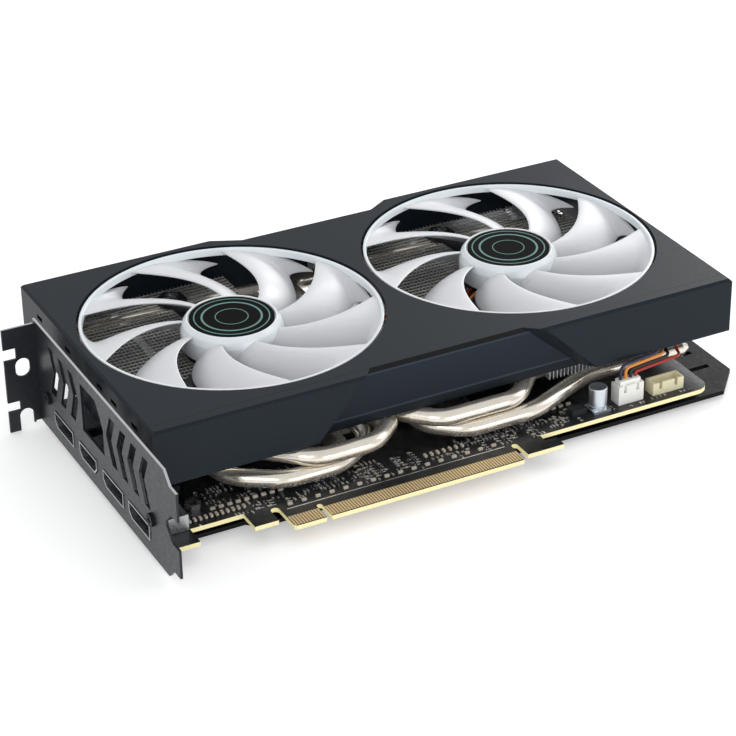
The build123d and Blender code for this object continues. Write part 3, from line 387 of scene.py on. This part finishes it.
def rounded(profile, radius, arc_steps=5):
    """A closed outline with each corner rounded: a quadratic curve between points a radius away."""
    corners = np.asarray(profile, float)
    before, after = np.roll(corners, 1, axis=0), np.roll(corners, -1, axis=0)
    to_before = (before - corners) / np.linalg.norm(before - corners, axis=1, keepdims=True)
    to_after = (after - corners) / np.linalg.norm(after - corners, axis=1, keepdims=True)
    t = np.linspace(0, 1, arc_steps)[None, :, None]
    start, end = (corners + to_before * radius)[:, None], (corners + to_after * radius)[:, None]
    return ((1 - t) ** 2 * start + 2 * t * (1 - t) * corners[:, None] + t ** 2 * end).reshape(-1, 2)


# %% [markdown]
# ## Fans
# A rotor is one moulding: a hub, nine sickle-shaped blades, and a thin ring that joins their tips.
# A blade is a loft: at each radius it is a thin arched section, whose leading edge sweeps forward with
# the radius. Height, sweep and chord are cubic curves through the sizes at four radii.

# %% Blades
fan_boxes = {side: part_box(f"fan_{side}") for side in ("left", "right")}
fan_centres = {side: (low + high) / 2 for side, (low, high) in fan_boxes.items()}
ring_radius = (fan_boxes["left"][1].x - fan_boxes["left"][0].x) / 2
hub_radius = 17.5 * MM
BLADES = 9
at_radius = np.array([15.5, 26.0, 38.0, 53.0])
lead_angle = np.polyfit(at_radius, [33.5, 44.5, 58.0, 71.5], 3)
lead_height = np.polyfit(at_radius, [31.6, 32.4, 32.9, 33.2], 3)
blade_drop = np.polyfit(at_radius, [7.4, 8.0, 7.4, 4.4], 3)
blade_arch = np.polyfit(at_radius, [1.2, 1.6, 1.6, 1.0], 3)


def chord_angle(radius):
    """The blade narrows a little outwards, then its trailing edge runs out along the ring."""
    return 33.0 - 0.22 * (radius - 15.5) + 15.0 * np.clip((radius - 45.0) / 6.0, 0, None) ** 2


def blade_points(along=56, across=26, thick=1.1):
    """Closed section at each radius: v runs 0 to 1 from the leading to the trailing edge and back."""
    radius = np.linspace(hub_radius / MM - 0.6, ring_radius / MM - 0.7, along)[:, None]
    v = 0.5 - 0.5 * np.cos(np.linspace(0, np.pi, across))
    v = np.concatenate([v, v[::-1][1:-1]])[None, :]
    side = np.concatenate([np.ones(across), -np.ones(across - 2)])[None, :]
    angle = np.radians(np.polyval(lead_angle, radius) - v * chord_angle(radius))
    arch = 4 * v * (1 - v) * np.polyval(blade_arch, radius)
    half_thick = side * (thick / 2) * (4 * v * (1 - v)) ** 0.3
    middle = np.polyval(lead_height, radius) - 0.3 - v * np.polyval(blade_drop, radius) + arch
    height = middle + half_thick
    return np.stack([radius * np.cos(angle), radius * np.sin(angle), height], axis=-1) * MM


def all_blades(side):
    one = blade_points()
    rows, columns = one.shape[:2]
    cap_in = list(range(columns))
    cap_out = [(rows - 1) * columns + k for k in range(columns)][::-1]
    quads = [face[::-1] for face in grid_faces(rows, columns)]
    points, faces = [], []
    for number in range(BLADES):
        turn = 2 * np.pi * number / BLADES
        c, s = np.cos(turn), np.sin(turn)
        rotated = one @ np.array([[c, s, 0], [-s, c, 0], [0, 0, 1]])
        rotated[..., 0] += fan_centres[side].x
        rotated[..., 1] += fan_centres[side].y
        first = number * rows * columns
        points.append(rotated.reshape(-1, 3))
        faces += [[first + k for k in face] for face in [*quads, cap_in, cap_out]]
    return np.concatenate(points), faces


for side in ("left", "right"):
    points, faces = all_blades(side)
    make_piece(f"blades_{side}", points, faces, "frosted_plastic", f"rotor_{side}", sharp=60.0)


# %% [markdown]
# ## Ring, hub and disc
# These are turned shapes. The ring is a thin rounded band. The hub's cup has a soft shoulder, and its
# shallow seat holds the CAD part's black disc, on which three plain rings are printed.

# %% Turned rotor parts
DISC_RINGS = [(12.6, 13.0), (9.8, 10.5), (5.4, 5.7)]
PRINT_HEIGHTS = (33.28, 33.36)


def turned_piece(name, profile, centre, finish, body, steps=160, corner=0.25):
    outline = rounded(profile, corner) * MM
    points = turned(outline, centre, steps)
    faces = grid_faces(len(outline), steps, wrap_rows=True)
    return make_piece(name, points, faces, finish, body)


for side, centre in fan_centres.items():
    body = f"rotor_{side}"
    band = ring_radius / MM
    turned_piece(f"ring_{side}", [(band, 31.4), (band, 34.0), (band - 1.1, 34.0), (band - 1.3, 31.4)],
                 centre, "polished_plastic", body)
    hub = turned_piece(f"hub_{side}", [(17.5, 23.6), (17.5, 29.6), (16.7, 31.9), (15.5, 33.4),
                                       (14.9, 33.4), (14.8, 32.5), (0.4, 32.5), (0.4, 31.6), (15.9, 31.6),
                                       (15.95, 23.6)], centre, "polished_plastic", body, corner=0.12)
    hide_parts(f"fan_{side}")
    for number, (inner, outer) in enumerate(DISC_RINGS):
        low, high = PRINT_HEIGHTS
        turned_piece(f"disc_ring_{side}_{number}", [(outer, low), (outer, high), (inner, high),
                                                    (inner, low)],
                     centre, "disc_print", body, steps=96, corner=0.02)


# %% [markdown]
# ## Fin tops
# Each fin ends in a folded lip with a notch every few millimetres. Seen from the fan side the lips and
# notches make a fine mesh. Thin strips laid across the fins, one for each row of lips, give that mesh.

# %% Strips across the fins
LIP_PITCH, LIP_WIDTH, LIP_HEIGHT = 2.1, 0.5, 0.22


def boxes(centres, sizes):
    """Eight corners and six faces for each box, as arrays. Height runs up from the centre's z."""
    signs = np.array([(-1, -1, 0), (1, -1, 0), (1, 1, 0), (-1, 1, 0),
                      (-1, -1, 1), (1, -1, 1), (1, 1, 1), (-1, 1, 1)])
    half = np.array([0.5, 0.5, 1.0])
    points = centres[:, None] + signs[None] * sizes[:, None] * half
    sides = np.array([(3, 2, 1, 0), (4, 5, 6, 7), (0, 1, 5, 4), (1, 2, 6, 5), (2, 3, 7, 6), (3, 0, 4, 7)])
    faces = np.arange(len(centres))[:, None, None] * 8 + sides[None]
    return points.reshape(-1, 3), faces.reshape(-1, 4).tolist()


for part in ("left", "centre", "right"):
    low, high = (np.array(corner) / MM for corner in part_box(f"fin_stack_{part}"))
    rows = np.arange(low[1] + 1.2, high[1] - 1.0, LIP_PITCH)
    middle = np.tile([(low[0] + high[0]) / 2, 0.0, high[2] - LIP_HEIGHT + 0.03], (len(rows), 1))
    middle[:, 1] = rows
    sizes = np.tile([high[0] - low[0], LIP_WIDTH, LIP_HEIGHT], (len(rows), 1))
    points, faces = boxes(middle * MM, sizes * MM)
    make_piece(f"fin_lips_{part}", points, faces, "fin_lips", "card", sharp=10.0)


# %% [markdown]
# ## Small parts on the board
# Hundreds of chip resistors and capacitors fill a real board: a body a millimetre long with tinned
# ends, in rows of the same kind, each with a short printed line beside it. They are set out in
# clusters by a seeded draw. A place is used only where no CAD part stands, which is read from the
# triangles of the CAD parts near the board.

# %% Free places on the board
board_low, board_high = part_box("pcb")
CELL = 0.25 * MM
cells = np.zeros((int((board_high.x - board_low.x) / CELL) + 1,
                  int((board_high.y - board_low.y) / CELL) + 1), bool)
board_top = board_high.z
standing = [n for n in nodes if slots[n] not in ("board", "shroud", "backplate", "frosted_plastic",
                                                  "fin_aluminium", "contact_gold", "plated_pipe")]


def cell_of(places):
    """Row and column of the cells that hold these x, y places."""
    found = ((places - np.array([board_low.x, board_low.y])) / CELL).astype(int)
    return np.clip(found, 0, np.array(cells.shape) - 1)


for name in standing:
    mesh = nodes[name].data
    places = np.empty(len(mesh.vertices) * 3)
    mesh.vertices.foreach_get("co", places)
    corners = np.empty(len(mesh.loop_triangles) * 3, int)
    mesh.loop_triangles.foreach_get("vertices", corners)
    corners = places.reshape(-1, 3)[corners].reshape(-1, 3, 3)
    near = (corners[..., 2].min(axis=1) < board_top + 2 * MM) & (corners[..., 2].max(axis=1) > board_top)
    low, high = cell_of(corners[near].min(axis=1)[:, :2]), cell_of(corners[near].max(axis=1)[:, :2])
    for (i0, j0), (i1, j1) in zip(low, high):
        cells[max(i0 - 2, 0):i1 + 3, max(j0 - 2, 0):j1 + 3] = True
print("share of the board that is taken:", round(float(cells.mean()), 2))


# %% Clusters of chip parts
draw = np.random.default_rng(7)
# Each field: lowest and highest x, lowest and highest y, and how many rows are drawn in it.
FIELDS = [(-48, 26, 13.0, 34.0, 70), (-9, 86, 10.8, 18.5, 80), (52, 100, 14.0, 24.0, 34),
          (88, 148, 12.6, 15.5, 20), (-40, 24, 88.0, 108.0, 40), (60, 118, 92.0, 108.0, 40)]


def chip_rows():
    """Rows of equal parts side by side. Each part: x, y, whether its length is along Y, its length."""
    found = []
    for x0, x1, y0, y1, how_many in FIELDS:
        for _ in range(how_many):
            turned_row = draw.random() < 0.5
            length = draw.choice([1.0, 1.0, 1.6, 0.7])
            count, pitch = draw.integers(2, 8), draw.choice([0.95, 1.25, 1.6])
            x, y = draw.uniform(x0, x1), draw.uniform(y0, y1)
            step = np.array([pitch * length, 0]) if not turned_row else np.array([0, pitch * length])
            for number in range(count):
                found.append((x + step[0] * number, y + step[1] * number, not turned_row, length))
    return found


CHIP_WIDTH, CHIP_GAP = 0.6, 0.15
BOARD_RIGHT_X, BOARD_FRONT_Y = 151, 10.6
chips = []
for x, y, across, length in chip_rows():
    half_x, half_y = (CHIP_WIDTH / 2, length / 2) if across else (length / 2, CHIP_WIDTH / 2)
    low = cell_of(np.array([x - half_x - CHIP_GAP, y - half_y - CHIP_GAP]) * MM)
    high = cell_of(np.array([x + half_x + CHIP_GAP, y + half_y + CHIP_GAP]) * MM)
    area = cells[low[0]:high[0] + 1, low[1]:high[1] + 1]
    if area.any() or x > BOARD_RIGHT_X or y < BOARD_FRONT_Y:
        continue
    area[:] = True
    chips.append((x, y, across, length))
chips = np.array(chips, float)
print("chip parts set out:", len(chips))


def chip_piece(name, share, shift, height, finish, keep=None, wide=1.0):
    """One box per chip: share is its length beside the chip's, shift moves it along the chip."""
    some = chips if keep is None else chips[keep]
    across, length = some[:, 2] > 0.5, some[:, 3]
    along = np.where(across, 1, 0)
    offset = shift * length
    centres = np.stack([some[:, 0] + offset * (1 - along), some[:, 1] + offset * along,
                        np.full(len(some), board_top / MM)], axis=1)
    long_side, width = share * length, np.full(len(some), 0.55 * wide)
    sizes = np.stack([np.where(across, width, long_side), np.where(across, long_side, width),
                      np.full(len(some), height)], axis=1)
    points, faces = boxes(centres * MM, sizes * MM)
    return make_piece(name, points, faces, finish, "card", sharp=10.0)


finishes["solder_tin"] = metal("solder_tin", ("#d9dbdd", "#f2f3f4"), (0.25, 0.4))
finishes["white_print"] = moulded("white_print", ("#dcdcd8", "#f0f0ee"), (0.5, 0.6), bump=0.0)
tan = draw.random(len(chips)) < 0.55
chip_piece("chip_bodies_tan", 0.52, 0.0, 0.34, "ceramic_part", keep=tan)
chip_piece("chip_bodies_black", 0.52, 0.0, 0.30, "chip_epoxy", keep=~tan)
chip_piece("chip_ends_low", 0.22, -0.38, 0.36, "solder_tin", wide=1.05)
chip_piece("chip_ends_high", 0.22, 0.38, 0.36, "solder_tin", wide=1.05)
marked = draw.random(len(chips)) < 0.8
chip_piece("board_print_lines", 0.9, 1.02, 0.02, "white_print", keep=marked, wide=0.4)
line_points, line_faces = boxes(np.array([[30.0, 10.4, board_top / MM]]) * MM,
                                np.array([[80.0, 0.35, 0.02]]) * MM)
make_piece("board_edge_line", line_points, line_faces, "solder_tin", "card", sharp=10.0)


# %% [markdown]
# ## Stage, light and camera
# The card lies on a plain pale floor that glows a little, so its shadow stays light. A soft box high
# behind the right end gives the shroud's top its slow change of tone. Two at the front light the
# walls, the low one reaching the pipes and the board under the shroud, and one fills the right.

# %% Floor, lights and camera
def floor_finish():
    material, tree, shader, place = new_finish("pale_floor", "#f4f5f6", 0.55, Emission_Strength=0.35)
    vary(tree, shader, place, 900.0, ("#f2f3f4", "#f8f9fa"), (0.5, 0.6), bump=0.0)
    return material


finishes["floor"] = floor_finish()
floor_height = cad_box[0][2] - 0.0002
floor_mesh = bpy.data.meshes.new("floor")
reach = 6.0
floor_mesh.from_pydata([(-reach, -reach, floor_height), (reach, -reach, floor_height),
                        (reach, reach, floor_height), (-reach, reach, floor_height)], [], [(0, 1, 2, 3)])
floor_mesh.materials.append(finishes["floor"])
floor = bpy.data.objects.new("floor", floor_mesh)
bpy.context.scene.collection.objects.link(floor)

world = bpy.data.worlds.new("studio")
world.use_nodes = True
world.node_tree.nodes["Background"].inputs["Color"].default_value = linear("#ffffff")
world.node_tree.nodes["Background"].inputs["Strength"].default_value = 0.8
bpy.context.scene.world = world
bpy.context.scene.view_settings.view_transform = "Standard"


def aim(thing, place, target, roll=0.0):
    """Puts a light or camera at place, its own -Z towards target, turned by roll about that line."""
    turn = (Vector(target) - Vector(place)).to_track_quat("-Z", "Y").to_matrix().to_4x4()
    thing.matrix_world = Matrix.Translation(place) @ turn @ Matrix.Rotation(roll, 4, "Z")


def soft_box(name, place, target, size, power):
    lamp = bpy.data.lights.new(name, "AREA")
    lamp.shape = "RECTANGLE"
    lamp.size, lamp.size_y = size
    lamp.energy = power
    thing = bpy.data.objects.new(name, lamp)
    bpy.context.scene.collection.objects.link(thing)
    aim(thing, place, target)


centre = (0.05, 0.06, 0.02)           # the middle of the card
soft_box("key_box", (1.0, 0.85, 0.6), centre, (0.5, 0.3), 3.0)
soft_box("front_box", (-0.7, -0.8, 0.5), centre, (0.5, 0.5), 1.5)
soft_box("low_box", (0.3, -1.1, 0.2), centre, (0.8, 0.25), 2.0)
soft_box("right_box", (1.1, -0.2, 0.5), centre, (0.5, 0.7), 1.5)

camera = bpy.data.cameras.new("camera")
camera.sensor_width = 36.0
camera.lens = 121.45
viewer = bpy.data.objects.new("camera", camera)
bpy.context.scene.collection.objects.link(viewer)
aim_at = np.array([40.685, 51.537, 17.722]) * MM
azimuth, elevation, distance = np.radians(-26.995), np.radians(29.113), 834.728 * MM
back = np.array([np.cos(elevation) * np.sin(azimuth), -np.cos(elevation) * np.cos(azimuth),
                 np.sin(elevation)])
aim(viewer, tuple(aim_at + distance * back), tuple(aim_at), roll=np.radians(-0.957))
bpy.context.scene.camera = viewer
print("camera at", np.round(aim_at + distance * back, 4))
